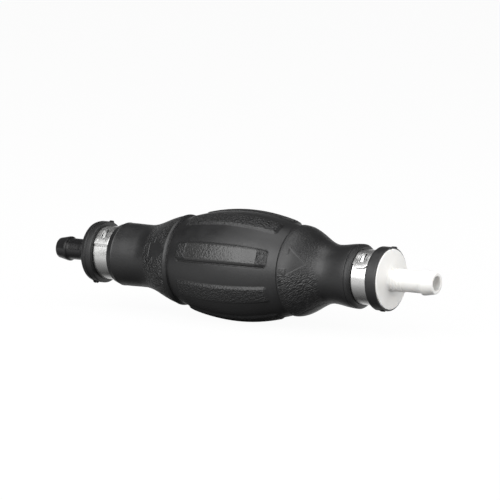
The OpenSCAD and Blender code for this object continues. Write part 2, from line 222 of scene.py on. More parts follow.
def mottledRubber(name, darkHex, paleHex, roughness, skin, specular):
    # moulded rubber: soft sheen with faint clouds of bloom, and the mould's fine skin
    bloomSize = 8.0
    material, tree, shader, place = newMaterial(name)
    cloud = cloudedGloss(tree, shader, place, bloomSize, 3.0, roughness - 0.05, roughness + 0.06)
    tone = addNode(tree, "ShaderNodeValToRGB", inputs={"Fac": cloud},
                   stops=[(0.35, darkHex), (0.7, paleHex)])
    tree.links.new(tone.outputs["Color"], shader.inputs["Base Color"])
    # a blasted mould's skin is finer than 0.1 mm, so it is drawn coarser to show
    grain = addNode(tree, "ShaderNodeTexNoise", inputs={
        "Vector": place, "Scale": patternScale(skin), "Detail": 2.0})
    bump = addNode(tree, "ShaderNodeBump", inputs={
        "Height": grain.outputs["Fac"], "Strength": 0.25, "Distance": 0.04 * mm})
    tree.links.new(bump.outputs["Normal"], shader.inputs["Normal"])
    setSockets(shader, {"IOR": 1.52, "Specular IOR Level": specular})
    return material, tree, shader, place, bump


rubberLook = {
    "dark": "#0f0f10", "pale": "#141415", "roughness": 0.43, "specular": 0.57, "skin": 0.35,
    "polish": 0.15, "badge": "#2e2e2e",  # the badge's extra gloss and its greyer tone
    "pebble": 0.85, "pebbleHeight": 0.45, "pebbleSoft": 0.5,  # the pads' grain
    "stroke": 0.62, "strokeHeight": 0.58, "strokeSoft": 0.35,  # the shoulders' leather grain
    "strokeSlant": -30.0, "strokeStretch": 3.6,
    "wander": 2.0, "wanderBy": 0.9,  # how both grains stray from a regular net
    "grainLevel": 0.4,  # height that counts as flat
}

# Nitrile rubber moulded in a blasted steel mould: near black, half matt, grained on pads and shoulders
nitrileRubber, tree, shader, place, skinBump = mottledRubber(
    "mouldedNitrileRubber", rubberLook["dark"], rubberLook["pale"],
    rubberLook["roughness"], rubberLook["skin"], rubberLook["specular"])
pebbleMask = addNode(tree, "ShaderNodeAttribute", {"attribute_name": "pebble"})
leatherMask = addNode(tree, "ShaderNodeAttribute", {"attribute_name": "leather"})
# the grain leans the same way on both shoulders, so its pattern is mirrored about the middle
axes = addNode(tree, "ShaderNodeSeparateXYZ", inputs={0: place})
sideways = addNode(tree, "ShaderNodeMath", {"operation": "ABSOLUTE"}, {0: axes.outputs["X"]})
mirrored = addNode(tree, "ShaderNodeCombineXYZ", inputs={
    0: sideways.outputs[0], 1: axes.outputs["Y"], 2: axes.outputs["Z"]})
wander = addNode(tree, "ShaderNodeTexNoise", inputs={
    "Vector": place, "Scale": patternScale(rubberLook["wander"]), "Detail": 1.0})
shifted = addNode(tree, "ShaderNodeVectorMath", {"operation": "MULTIPLY_ADD"}, {
    0: wander.outputs["Color"], 1: (rubberLook["wanderBy"] * mm,) * 3, 2: mirrored.outputs[0]})
pebbles = addNode(tree, "ShaderNodeTexVoronoi", {"feature": "SMOOTH_F1"}, {
    "Vector": shifted.outputs["Vector"], "Scale": patternScale(rubberLook["pebble"]),
    "Smoothness": rubberLook["pebbleSoft"]})
slanted = addNode(tree, "ShaderNodeMapping", {"vector_type": "TEXTURE"}, {
    "Vector": shifted.outputs["Vector"], "Rotation": (0.0, math.radians(rubberLook["strokeSlant"]), 0.0),
    "Scale": (rubberLook["strokeStretch"], 1.0, 1.0)})
strokes = addNode(tree, "ShaderNodeTexVoronoi", {"feature": "SMOOTH_F1"}, {
    "Vector": slanted.outputs["Vector"], "Scale": patternScale(rubberLook["stroke"]),
    "Smoothness": rubberLook["strokeSoft"]})
pebbleSwing = addNode(tree, "ShaderNodeMath", {"operation": "SUBTRACT"}, {
    0: pebbles.outputs["Distance"], 1: rubberLook["grainLevel"]})
strokeSwing = addNode(tree, "ShaderNodeMath", {"operation": "SUBTRACT"}, {
    0: strokes.outputs["Distance"], 1: rubberLook["grainLevel"]})
pebbleHigh = addNode(tree, "ShaderNodeMath", {"operation": "MULTIPLY"}, {
    0: pebbleSwing.outputs[0], 1: pebbleMask.outputs["Fac"]})
strokeHigh = addNode(tree, "ShaderNodeMath", {"operation": "MULTIPLY"}, {
    0: strokeSwing.outputs[0], 1: leatherMask.outputs["Fac"]})
pebbleBump = addNode(tree, "ShaderNodeBump", {"invert": True}, {
    "Height": pebbleHigh.outputs[0], "Strength": 1.0, "Distance": rubberLook["pebbleHeight"] * mm,
    "Normal": skinBump.outputs["Normal"]})
strokeBump = addNode(tree, "ShaderNodeBump", {"invert": True}, {
    "Height": strokeHigh.outputs[0], "Strength": 1.0, "Distance": rubberLook["strokeHeight"] * mm,
    "Normal": pebbleBump.outputs["Normal"]})
tree.links.new(strokeBump.outputs["Normal"], shader.inputs["Normal"])
# the badge comes from a separate polished insert, so it is glossier and a little greyer
polishedMask = addNode(tree, "ShaderNodeAttribute", {"attribute_name": "polished"})
dull = shader.inputs["Roughness"].links[0].from_socket
gloss = addNode(tree, "ShaderNodeMapRange", inputs={
    "Value": polishedMask.outputs["Fac"], "To Min": 0.0, "To Max": -rubberLook["polish"]})
roughness = addNode(tree, "ShaderNodeMath", {"operation": "ADD"}, {0: dull, 1: gloss.outputs["Result"]})
tree.links.new(roughness.outputs[0], shader.inputs["Roughness"])
bloomed = shader.inputs["Base Color"].links[0].from_socket
badgeTone = addNode(tree, "ShaderNodeMix", {"data_type": "RGBA"}, {
    0: polishedMask.outputs["Fac"], 6: bloomed, 7: toLinear(rubberLook["badge"])})
tree.links.new(badgeTone.outputs[2], shader.inputs["Base Color"])

# Face seals and O-rings: the same rubber, unfilled and a little glossier
sealRubber = mottledRubber("mouldedSealRubber", "#1b1b1c", "#232324",
                           roughness=0.38, skin=0.25, specular=0.4)[0]


def mouldedPlastic(name, darkHex, paleHex, roughness, specular, scatter):
    # injection moulding: smooth gloss with the mould's faint spark texture and soft flow clouds
    flowSize = 11.0
    sparkSize = 0.25  # really under 0.1, drawn coarser so that it shows
    material, tree, shader, place = newMaterial(name)
    cloud = cloudedGloss(tree, shader, place, flowSize, 2.0, roughness - 0.04, roughness + 0.05)
    tone = addNode(tree, "ShaderNodeValToRGB", inputs={"Fac": cloud},
                   stops=[(0.35, darkHex), (0.7, paleHex)])
    tree.links.new(tone.outputs["Color"], shader.inputs["Base Color"])
    spark = addNode(tree, "ShaderNodeTexNoise", inputs={
        "Vector": place, "Scale": patternScale(sparkSize), "Detail": 1.0})
    bump = addNode(tree, "ShaderNodeBump", inputs={
        "Height": spark.outputs["Fac"], "Strength": 0.12, "Distance": 0.02 * mm})
    tree.links.new(bump.outputs["Normal"], shader.inputs["Normal"])
    setSockets(shader, {"IOR": 1.5, "Specular IOR Level": specular})
    if scatter:
        setSockets(shader, {"Subsurface Weight": 0.2, "Subsurface Radius": (1.2, 1.1, 1.0),
                            "Subsurface Scale": scatter * mm})
    return material


# Glass-filled black nylon, moulded: deeper black and glossier than the rubber
blackNylon = mouldedPlastic("mouldedBlackNylon", "#121213", "#19191a",
                            roughness=0.3, specular=0.5, scatter=0)
# White acetal, moulded: bright, waxy, light soaks in a little
whiteAcetal = mouldedPlastic("mouldedWhiteAcetal", "#ecebe8", "#f1f0ee",
                             roughness=0.4, specular=0.45, scatter=1.0)
# Natural acetal of the valve parts: cream, slightly see-through at thin edges
naturalAcetal = mouldedPlastic("mouldedNaturalAcetal", "#dedacd", "#e8e5da",
                               roughness=0.42, specular=0.45, scatter=1.2)


def drawnSteel(name, darkHex, paleHex, roughness, streak, along, strength):
    # rolled or drawn steel: slightly uneven gloss and fine streaks along the metal, which are
    # drawn coarser than the real ones so that they show
    tarnishSize = 4.0
    # the dark of the cut faces: partly their own rough tone, partly painted shade
    cutEdgeShadeHex = "#414142"
    material, tree, shader, place = newMaterial(name)
    stretched = addNode(tree, "ShaderNodeMapping", inputs={"Vector": place, "Scale": along})
    lines = addNode(tree, "ShaderNodeTexNoise", inputs={
        "Vector": stretched.outputs["Vector"], "Scale": patternScale(streak),
        "Detail": 4.0, "Roughness": 0.6})
    tone = addNode(tree, "ShaderNodeValToRGB", inputs={"Fac": lines.outputs["Fac"]},
                   stops=[(0.3, darkHex), (0.7, paleHex)])
    # where the strip is sheared to length and pierced, the cut face is painted dark: partly its rough torn
    # face, partly painted shade for the dark outline at the tongue's tip and round the slot
    cut = addNode(tree, "ShaderNodeAttribute", {"attribute_name": "shadedCutEdge"})
    cutEdgeShade = addNode(tree, "ShaderNodeMix", {"data_type": "RGBA"}, {
        0: cut.outputs["Fac"], 6: tone.outputs["Color"], 7: toLinear(cutEdgeShadeHex)})
    tree.links.new(cutEdgeShade.outputs[2], shader.inputs["Base Color"])
    cloudedGloss(tree, shader, place, tarnishSize, 2.0, roughness - 0.05, roughness + 0.07)
    bump = addNode(tree, "ShaderNodeBump", inputs={
        "Height": lines.outputs["Fac"], "Strength": strength, "Distance": 0.02 * mm})
    tree.links.new(bump.outputs["Normal"], shader.inputs["Normal"])
    setSockets(shader, {"Metallic": 1.0})
    return material


# Rolled stainless strip: bright, with rolling streaks round the band
stainlessStrip = drawnSteel("rolledStainlessStrip", "#cccccb", "#d4d4d3", roughness=0.27,
                            streak=0.3, along=(1.0, 0.08, 0.08), strength=0.04)
# Drawn stainless spring wire: bright and nearly smooth
springWire = drawnSteel("drawnSpringWire", "#9b9c9e", "#b4b5b7", roughness=0.24,
                        streak=0.2, along=(1.0, 1.0, 1.0), strength=0.15)
print("materials ready")

bulb = {
    "ends": spanX("bulb"), "collarR": 14.0, "collarW": 5.6,
    "lipR": 13.25, "lipDeep": 3.0,  # recess for a fitting's disk
    "collarGroove": 0.3, "collarGrooveRun": 0.25, "collarGrooveDeep": 0.35,
    "clampRoom": 0.2, "gripR": 11.6,  # groove for a clamp
    "bandCrest": -62.3, "bandEnd": -55.9, "bandR": 14.28, "neckR": 14.18,
    "shoulderStart": -50.0, "barrel": (-28.55, 30.45), "shoulderRise": 0.15,
    "waist": (49.85, 12.98), "flare": (61.6, 14.22),
    "crownR": 90.0, "barrelR": 25.1, "middle": 0.95,  # the barrel's crowned line
    "padH": 0.95, "wall": 3.2,
    "ring": ((-30.1, 20.05), (-29.95, 20.35), (-29.6, 20.45), (-28.9, 20.3), (-28.4, 20.05),
             (-28.1, 19.7), (-27.95, 19.25)),  # smooth ring where the inlet shoulder ends
    "edgeGroove": 0.9, "edgeGrooveDeep": 0.5,
    "flareGroove": 60.6, "flareGrooveW": 0.55, "flareGrooveDeep": 0.35,
    "lipChamfer": (0.9, 1.3), "lipBack": 0.5,
    "plugR": 9.0, "boreReach": 2.5,  # the bore runs on past the plug
    "ribs": 3, "ribH": 0.4, "ribStart": 0.3, "ribPitch": 2.8, "ribBack": 0.02,
}
pads = {
    "count": 8, "halfDeg": 11.0, "x": (-22.4, 25.3), "cornerR": 1.4, "slope": 1.2, "edgeR": 0.25,
    "wallGrain": 0.35,  # share of the grain that the walls have
    "badgeAngle": 20.0, "badgeX": (-16.5, 20.6), "badgeHalfDeg": 9.3, "badgeDeep": 0.15,
    "badgeCornerR": 0.8, "badgeSlope": 0.35, "badgeGrain": 0.25,
    "lowerSlope": 1.0, "trenchW": 0.95, "trenchDeep": 0.34,  # at the badge's pad only
}
arrows = {
    "tails": (-40.15, 31.45), "deep": (0.26, 0.15), "slope": (0.3, 0.5),
    "stem": 3.0, "stemHalf": 3.3, "head": 7.6, "headHalf": 6.2,
}
leatherZone = {
    "ends": (-45.0, 48.5), "fades": (2.5, 3.5),  # towards the necks
    "outletTop": 8.0, "outletBottom": -95.0, "outletLeast": 0.15, "outletGain": 0.6,
}
nubs = {
    "inlet": ((90, -74.7), (270, -76.9)),  # angle from the badge, and place along X
    "inletHalfX": 1.1, "inletH": 0.7,
    "outletX": 75.6, "outletHalfX": 1.15, "outletH": 0.5,
    "footR": 13.6, "half": 0.65, "slope": 0.3,
    "seamH": 0.06, "seamHalf": 0.3, "seamSlope": 0.2,  # the faint parting line
}
bulbMasks = {}  # filled by bulbRelief, one value a point


def crown(x):
    return bulb["barrelR"] - (bulb["crownR"] - np.sqrt(bulb["crownR"] ** 2 - (x - bulb["middle"]) ** 2))


def crownLine(x0, x1, drop, steps):
    return [[x, float(crown(x)) - drop, 0] for x in np.linspace(x0, x1, steps + 1)]


def flareR(x):
    (x0, r0), (x1, r1) = bulb["waist"], bulb["flare"]
    return r0 + (r1 - r0) * float(smoothStep((x - x0) / (x1 - x0)))


def clampGroove(node):
    start, end = spanX(node)
    return start - bulb["clampRoom"], end + bulb["clampRoom"]


def ribLine(face, way):
    # snap ribs on a plug, from the disk inward; way is +1 for the inlet
    b = bulb
    out = []
    for i in range(b["ribs"]):
        d = b["collarW"] - b["lipDeep"] + i * b["ribPitch"] + b["ribStart"]
        top = d + b["ribPitch"] / 2
        out += [[face + way * d, b["plugR"], 0], [face + way * top, b["plugR"] + b["ribH"], 0],
                [face + way * (top + b["ribBack"]), b["plugR"], 0]]
    return out


def bulbOutside():
    b = bulb
    x0, x1 = b["ends"]
    collarR, gripR, bandR, neckR = b["collarR"], b["gripR"], b["bandR"], b["neckR"]
    (grooveA, grooveB), (grooveC, grooveD) = clampGroove("inlet_clamp"), clampGroove("outlet_clamp")
    barrelA, barrelB = b["barrel"]
    edgeA, edgeB = (float(crown(x)) + b["shoulderRise"] for x in b["barrel"])
    # the inlet collar has a rounded face and a fine groove round its middle
    out = [[x0, b["lipR"], 0.1], [x0 + 0.1, b["lipR"] + 0.2, 0.15],
           [x0 + 0.9, collarR - 0.25, 0.9], [x0 + 2.0, collarR, 0.9]]
    floorEnd = x0 + b["collarW"] / 2
    floorStart, run = floorEnd - b["collarGroove"], b["collarGrooveRun"]
    floorR = collarR - b["collarGrooveDeep"]
    out += [[floorStart - run, collarR, 0.25], [floorStart, floorR, 0.15],
            [floorEnd, floorR, 0.15], [floorEnd + run, collarR, 0.25]]
    # the clamp's groove, and the band beside it with a crest at its edge
    out += [[grooveA, collarR, 0.45], [grooveA, gripR, 0.12], [grooveB, gripR, 0.12],
            [grooveB, bandR - 0.9, 0.4], [b["bandCrest"] - 0.5, bandR - 0.12, 0.3],
            [b["bandCrest"], bandR + 0.12, 0.25], [b["bandCrest"] + 0.6, bandR, 0.3]]
    out += sCurve(b["bandEnd"] - 2.5, bandR, b["bandEnd"] + 3.5, neckR, 10)
    # the inlet shoulder ends in a smooth ring that leans towards the barrel
    shoulderA = sCurve(b["shoulderStart"], neckR, barrelA + 1.2, edgeA, 44)
    out += [p for p in shoulderA if p[0] < b["ring"][0][0] - 0.2]
    out += [[x, r, 0] for x, r in b["ring"]]
    land = crownLine(b["ring"][-1][0] + 0.3, barrelB - b["edgeGroove"], b["padH"], 60)
    land[-1][2] = 0.15
    out += land[:-2] + land[-1:]
    # the outlet shoulder has a crisp edge with a fine groove before it
    out += [[barrelB - 0.35 * b["edgeGroove"], land[-1][1] - b["edgeGrooveDeep"], 0.1]]
    shoulderB = sCurve(barrelB, edgeB, b["waist"][0], b["waist"][1], 40)
    shoulderB[0][2] = 0.2
    out += shoulderB
    # the flare widens up to the clamp, with a groove round it and a chamfer at its end
    step, width = b["flareGroove"], b["flareGrooveW"]
    stepR = flareR(step)
    out += [[x, flareR(x), 0] for x in np.linspace(b["waist"][0], step, 8)[1:-1]]
    out += [[step, stepR, 0.2], [step + width / 2, stepR - b["flareGrooveDeep"], 0.1],
            [step + width, stepR + 0.03, 0.2]]
    back, down = b["lipChamfer"]
    lipX = x1 - b["lipBack"]
    out += [[grooveC - back, b["flare"][1], 0.3], [grooveC, b["flare"][1] - down, 0.15],
            [grooveC, gripR, 0.12], [grooveD, gripR, 0.12], [grooveD, collarR, 0.45],
            [lipX, collarR, 0.7], [lipX, b["lipR"], 0.1]]
    return softOutline(out)


def bulbInside():
    # from the outlet's recess through the hollow back to the inlet's
    b = bulb
    x0, x1 = b["ends"]
    barrelA, barrelB = b["barrel"]
    hollowA, hollowB = (float(crown(x)) - b["padH"] - b["wall"] for x in b["barrel"])
    faceA, faceB = x0 + b["lipDeep"], x1 - b["lipDeep"]
    boreA = spanX("inlet_fitting")[1] + b["boreReach"]
    boreB = spanX("outlet_fitting")[0] - b["boreReach"]
    out = [[faceB, b["lipR"], 0.1], [faceB, b["plugR"], 0.1]]
    out += ribLine(faceB, -1)
    out += sCurve(boreB, b["plugR"], barrelB, hollowB, 20)
    out += crownLine(barrelB, barrelA, b["padH"] + b["wall"], 30)[1:-1]
    out += sCurve(barrelA, hollowA, boreA, b["plugR"], 20)
    out += list(reversed(ribLine(faceA, 1)))
    out += [[faceA, b["plugR"], 0.1], [faceA, b["lipR"], 0.1]]
    return softOutline(out)


def boxDistance(u, v, halfU, halfV, round):
    # signed distance to a rounded rectangle, negative inside
    qu, qv = np.abs(u) - (halfU - round), np.abs(v) - (halfV - round)
    return np.hypot(np.maximum(qu, 0), np.maximum(qv, 0)) + np.minimum(np.maximum(qu, qv), 0) - round


def shapeDistance(u, v, corners):
    # signed distance to a flat closed shape, negative inside
    best = np.full(u.shape, 1e9)
    inside = np.zeros(u.shape, bool)
    for (ax, ay), (bx, by) in zip(corners, corners[1:] + corners[:1]):
        t = np.clip(((u - ax) * (bx - ax) + (v - ay) * (by - ay)) / ((bx - ax) ** 2 + (by - ay) ** 2), 0, 1)
        best = np.minimum(best, np.hypot(u - ax - t * (bx - ax), v - ay - t * (by - ay)))
        crosses = (ay > v) != (by > v)
        with np.errstate(divide="ignore", invalid="ignore"):
            inside ^= crosses & (u < (bx - ax) * (v - ay) / (by - ay if by != ay else 1e-9) + ax)
    return np.where(inside, -best, best)


def slopedWall(d, run, soft):
    # 0 outside, 1 inside, a straight slope between them with its two corners eased
    t = np.clip(d / run, -0.5, 1.5)
    e = soft / run
    low = np.where(t < -e, 0, np.where(t < e, (t + e) ** 2 / (4 * e), t))
    return np.where(t > 1 + e, 1, np.where(t > 1 - e, 1 - (1 + e - t) ** 2 / (4 * e), low))


def padRelief(x, r, angle, skin):
    # the pads' lift and their pebble grain, and where the badge is
    p = pads
    startX, endX = p["x"]
    midX, halfX = (startX + endX) / 2, (endX - startX) / 2
    onBarrel = skin & (x > startX - 1.5) & (x < endX + 1.5)
    lift, pebble = np.zeros(x.shape), np.zeros(x.shape)
    for i in range(p["count"]):
        v = np.radians(turnFrom(angle, p["badgeAngle"] + i * 360 / p["count"])) * r
        run = np.where((v < 0) & (i == 0), p["lowerSlope"], p["slope"])
        reach = np.radians(p["halfDeg"]) * r + run - p["slope"]
        d = boxDistance(x - midX, v, halfX, reach, p["cornerR"])
        lift = np.where(onBarrel, np.maximum(lift, slopedWall(-d, run, p["edgeR"]) * bulb["padH"]), lift)
        onWall, onTop = smoothStep((0.1 - d) / 0.4), smoothStep((-d - run + 0.3) / 0.5)
        grain = p["wallGrain"] * onWall + (1 - p["wallGrain"]) * onTop
        if i == 0:
            badge, trench = badgeRelief(x, r, v, d, halfX - np.abs(x - midX))
            grain = grain * (1 - (1 - p["badgeGrain"]) * badge)
            lift = np.where(onBarrel, lift - badge * p["badgeDeep"], lift)
        pebble = np.where(onBarrel, np.maximum(pebble, grain), pebble)
    return lift - np.where(onBarrel, trench, 0.0), pebble, np.where(onBarrel, badge, 0.0)


def badgeRelief(x, r, v, d, fromEnd):
    # 1 on the badge; and the fine trench along the foot of its pad's lower wall
    p = pads
    startX, endX = p["badgeX"]
    badgeHalf = np.radians(p["badgeHalfDeg"]) * r
    edge = boxDistance(x - (startX + endX) / 2, v, (endX - startX) / 2, badgeHalf, p["badgeCornerR"])
    foot = smoothStep(d / 0.3) * smoothStep((p["trenchW"] - d) / 0.45) * smoothStep(fromEnd - 0.6)
    return smoothStep(0.5 - edge / p["badgeSlope"]), np.where(v < 0, p["trenchDeep"] * foot, 0.0)


def arrowShape(tail):
    a = arrows
    neck, tip = tail + a["stem"], tail + a["stem"] + a["head"]
    return [(tail, -a["stemHalf"]), (neck, -a["stemHalf"]), (neck, -a["headHalf"]), (tip, 0.0),
            (neck, a["headHalf"]), (neck, a["stemHalf"]), (tail, a["stemHalf"])]


def arrowRelief(x, r, angle, skin):
    # how deep the arrows are sunk, and a mask that is 0 where they interrupt the grain
    a = arrows
    turn = turnFrom(angle, pads["badgeAngle"])
    facing = skin & (np.abs(turn) < 60)
    v = r * np.sin(np.radians(turn))
    sunk, clear = np.zeros(x.shape), np.ones(x.shape)
    for tail, deep, slope in zip(a["tails"], a["deep"], a["slope"]):
        d = np.where(facing, shapeDistance(x, v, arrowShape(tail)), 9.0)
        sunk = sunk + deep * smoothStep(0.5 - d / slope)
        clear = clear * smoothStep((d - 0.2) / 0.5)
    return sunk, clear


def shoulderGrain(x, angle, skin):
    # leather grain from the barrel's two edges towards the necks
    z = leatherZone
    ringX, edgeX = bulb["ring"][0][0], bulb["barrel"][1]
    inlet = smoothStep((x - z["ends"][0]) / z["fades"][0]) * smoothStep((ringX - 0.1 - x) / 0.4)
    outlet = smoothStep((z["ends"][1] - x) / z["fades"][1]) * smoothStep((x - edgeX - 0.4) / 0.5)
    # on the outlet side it is deep only below the arrow
    turn = turnFrom(angle, 0)
    below = smoothStep((z["outletTop"] - turn) / 8) * smoothStep((turn - z["outletBottom"]) / 40)
    outlet = outlet * (z["outletLeast"] + z["outletGain"] * below)
    return np.where(skin, np.where(x > 0, outlet, inlet), 0.0)


def nubRelief(x, r, angle):
    # mould nubs on the collars and the faint parting line between them
    n = nubs
    alongSeam = (r > 12.9) & ((np.abs(x) > 40) | (r > crown(x) - 3))
    lift = np.zeros(x.shape)
    for side, inletX in n["inlet"]:
        onCollar = (r > n["footR"]) & ((np.abs(x - inletX) < n["inletHalfX"])
                                       | (np.abs(x - n["outletX"]) < n["outletHalfX"]))
        v = np.abs(np.radians(turnFrom(angle, pads["badgeAngle"] + side)) * r)
        nub = np.where(x > 0, n["outletH"], n["inletH"]) * smoothStep((n["half"] - v) / n["slope"])
        seam = n["seamH"] * smoothStep((n["seamHalf"] - v) / n["seamSlope"])
        lift = lift + np.where(onCollar, nub, np.where(alongSeam, seam, 0))
    return lift


def bulbRelief(x, r, angle):
    # how far each point of the outer skin stands off the turned outline; also fills the masks
    skin = (r > np.where(np.abs(x) > 40, 12.9, 15.5)) & (r > crown(x) - bulb["padH"] - 1.0)
    lift, pebble, badge = padRelief(x, r, angle, skin)
    sunk, clear = arrowRelief(x, r, angle, skin)
    leather = shoulderGrain(x, angle, skin) * clear
    bulbMasks.update(pebble=pebble, leather=leather, polished=badge)
    return lift - sunk + nubRelief(x, r, angle)


def bulbAngles():
    # columns lie close together at the pads' walls, in the trench and at the parting line
    p = pads
    acrossWall = [1.2 - 0.4 * k for k in range(14)] + [-4.5]
    acrossSeam = (-1.6, -1.0, -0.7, -0.45, -0.2, 0, 0.2, 0.45, 0.7, 1.0, 1.6)
    marks = set()
    for i in range(p["count"]):
        centre = p["badgeAngle"] + i * 360 / p["count"]
        for side in (-1, 1):
            marks |= {round((centre + side * (p["halfDeg"] + step)) % 360, 3) for step in acrossWall}
    marks |= {p["badgeAngle"] - p["halfDeg"] - 0.2 - 0.4 * k for k in range(7)}
    for side, _ in nubs["inlet"]:
        marks |= {round((p["badgeAngle"] + side + step) % 360, 3) for step in acrossSeam}
    marks = sorted(marks)
    out = []
    for a, b in zip(marks, marks[1:] + [marks[0] + 360]):
        widest = 0.8 if abs(turnFrom(a, p["badgeAngle"])) < 23 else 1.15
        pieces = max(1, math.ceil((b - a) / widest - 1e-6))
        out += [a + (b - a) * k / pieces for k in range(pieces)]
    return out


def bulbSpacing(x, r):
    b, (padA, padB) = bulb, pads["x"]
    inHollow = 14.6 < r < crown(x) - b["padH"] - 1.2 and abs(x) < 30.5
    if r < 12.9 or inHollow:
        return 3.0
    if padA - 0.6 < x < padA + 3 or padB - 3 < x < padB + 0.6:
        return 0.25  # the pads' end walls
    if any(abs(x - edge) < 0.6 for edge in pads["badgeX"]):
        return 0.15  # the badge's ends
    if b["barrel"][1] - 2.2 < x < b["barrel"][1] + 0.6 or b["ring"][0][0] - 0.8 < x < b["ring"][-1][0] + 1:
        return 0.25  # the shoulders' edges
    if any(tail - 0.8 < x < tail + 11.4 for tail in arrows["tails"]):
        return 0.26  # the arrows
    return 0.9


bulbLine = refine(np.vstack([bulbOutside(), bulbInside()]), bulbSpacing)
bulbPiece = lathe("bulb_body", bulbLine, bulbAngles(), nitrileRubber, "pump", bulbRelief)
for name, mask in bulbMasks.items():
    layer = bulbPiece.data.attributes.new(name, "FLOAT", "POINT")
    layer.data.foreach_set("value", mask.reshape(-1).astype(np.float32))
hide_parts("bulb")
print("bulb", len(bulbPiece.data.vertices), "points")

fitting = {
    "diskR": 13.2, "diskT": 3.0, "plugR": 9.0, "plugLen": 22.0, "chamberR": 7.0,
    "stemR": 4.85, "crestR": 5.6, "land": 0.8, "nose": 5.0, "noseDrop": 1.0, "back": 0.6,
    "boreR": 3.2, "outletChamberR": 5.6, "inletSeatR": 4.0,
    "rings": 4, "ringStart": 1.8, "ringPitch": 1.5, "ringW": 0.6, "ringH": 0.22, "ringRun": 0.1,
    "notchAngle": 88.0, "notchDeep": 0.55, "notchHalf": 0.75, "notchSlope": 0.35,
    "notchR": 12.2, "notchX": 76.3,  # it reaches this far in, and this far back
    "columns": 144, "spacing": 1.6,
}


def fittingCorners(barbLen, inside):
    # in the fitting's own frame: disk's inner face at 0, barb towards +X
    f = fitting
    diskT, stemR, ringR, run = f["diskT"], f["stemR"], f["stemR"] + f["ringH"], f["ringRun"]
    out = [[-f["plugLen"], f["chamberR"], 0.2], [-f["plugLen"], f["plugR"], 0.4]]
    out += [[x, r, 0] for x, r, _ in reversed(ribLine(0, -1))]
    out += [[0, f["plugR"], 0.1], [0, f["diskR"], 0.15], [diskT, f["diskR"], 0.22], [diskT, stemR, 0.6]]
    for i in range(f["rings"]):
        x = diskT + f["ringStart"] + i * f["ringPitch"]
        out += [[x - run, stemR, 0.1], [x + run, ringR, 0.12],
                [x + f["ringW"] - run, ringR, 0.12], [x + f["ringW"] + run, stemR, 0.1]]
    tip = diskT + barbLen
    crest = tip - f["nose"]
    out += [[crest - f["land"] - f["back"], stemR, 0.15], [crest - f["land"], f["crestR"], 0.18],
            [crest, f["crestR"], 0.5], [tip, f["crestR"] - f["noseDrop"], 0.45], [tip, f["boreR"], 0.25]]
    return out + inside


def fittingLine(node, way, inside):
    # one outline for both ends: way is +1 for the outlet, -1 for the inlet, which is turned round
    f = fitting
    start, end = spanX(node)
    barbLen = end - start - f["plugLen"] - f["diskT"]
    face = start + f["plugLen"] if way > 0 else end - f["plugLen"]
    line = softOutline(fittingCorners(barbLen, inside)) * [way, 1] + [face, 0]
    return refine(line, lambda x, r: f["spacing"])


def diskNotch(x, r, angle):
    # the gate mark, a small nick in the disk's rim
    f = fitting
    rim = (r > f["notchR"]) & (x > f["notchX"])
    v = np.radians(turnFrom(angle, f["notchAngle"])) * f["diskR"]
    return np.where(rim, -f["notchDeep"] * smoothStep((f["notchHalf"] - np.abs(v)) / f["notchSlope"]), 0)


# waterway, cone and valve chamber, measured from the disk's inner face
outletInside = [[1.3, fitting["boreR"], 0], [-1.2, fitting["outletChamberR"], 0],
                [-4.7, fitting["outletChamberR"], 0.1], [-4.7, fitting["chamberR"], 0.1]]
inletInside = [[-0.7, fitting["boreR"], 0], [-3.2, fitting["inletSeatR"], 0],
               [-3.2, fitting["chamberR"], 0.1]]
evenColumns = np.linspace(0, 360, fitting["columns"], endpoint=False)
notchColumns = {fitting["notchAngle"] + side * step
                for side in (-1, 1) for step in (1.6, 2.3, 2.9, 3.4, 4.2)}
outletFitting = lathe("outlet_barb_fitting", fittingLine("outlet_fitting", 1, outletInside),
                      sorted(set(evenColumns.round(3).tolist()) | notchColumns),
                      whiteAcetal, "pump", diskNotch)
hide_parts("outlet_fitting")
inletFitting = lathe("inlet_barb_fitting", fittingLine("inlet_fitting", -1, inletInside),
                     evenColumns, blackNylon, "pump")
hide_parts("inlet_fitting")
print("fittings")

clamp = {
    "width": 8.0, "thick": 0.55, "innerR": 11.61, "angle": 50.0,
    # along the strip from the tongue's free end: slot's middle, root beyond it, the step down before
    # the root, and how far before the root the strip ends under the tongue
    "endDeg": 24.0, "rootDeg": 31.0, "climbDeg": 9.0, "underDeg": 12.0,
    "slotLen": 5.0, "slotW": 2.2, "slotRound": 0.8, "clip": 2.0,
    "ridgesIn": (0.75, 1.45), "ridgeH": 0.03, "ridgeW": 0.3,  # raised lines round the tongue's rim
    "edgeRound": 0.12, "tipLift": (0.3, 3.5),
    "hookW": 1.35, "hookLen": 3.8, "hookH": 1.0,
    "slotColumns": 8, "sideColumns": 17, "tongueStep": 0.9, "bandStep": 2.5,
}


def stripStations(slot, rootAt, degPerMm):
    # angles from the tongue's free end, close together at the slot's ends and on the tongue
    c = clamp
    fineTo = rootAt + 4
    marks = {0.0, c["clip"] * degPerMm, rootAt - c["climbDeg"], rootAt, fineTo,
             360 + rootAt - c["underDeg"]}
    for d in (0, 0.06, 0.15, 0.3, 0.5, c["slotRound"]):
        marks |= {slot[0] + d * degPerMm, slot[1] - d * degPerMm}
    marks = sorted(marks)
    along = []
    for a, b in zip(marks, marks[1:]):
        step = c["tongueStep"] if a < fineTo else c["bandStep"]
        pieces = max(1, math.ceil((b - a) / step - 1e-6))
        along += [a + (b - a) * k / pieces for k in range(pieces)]
    return np.array(along + [marks[-1]])


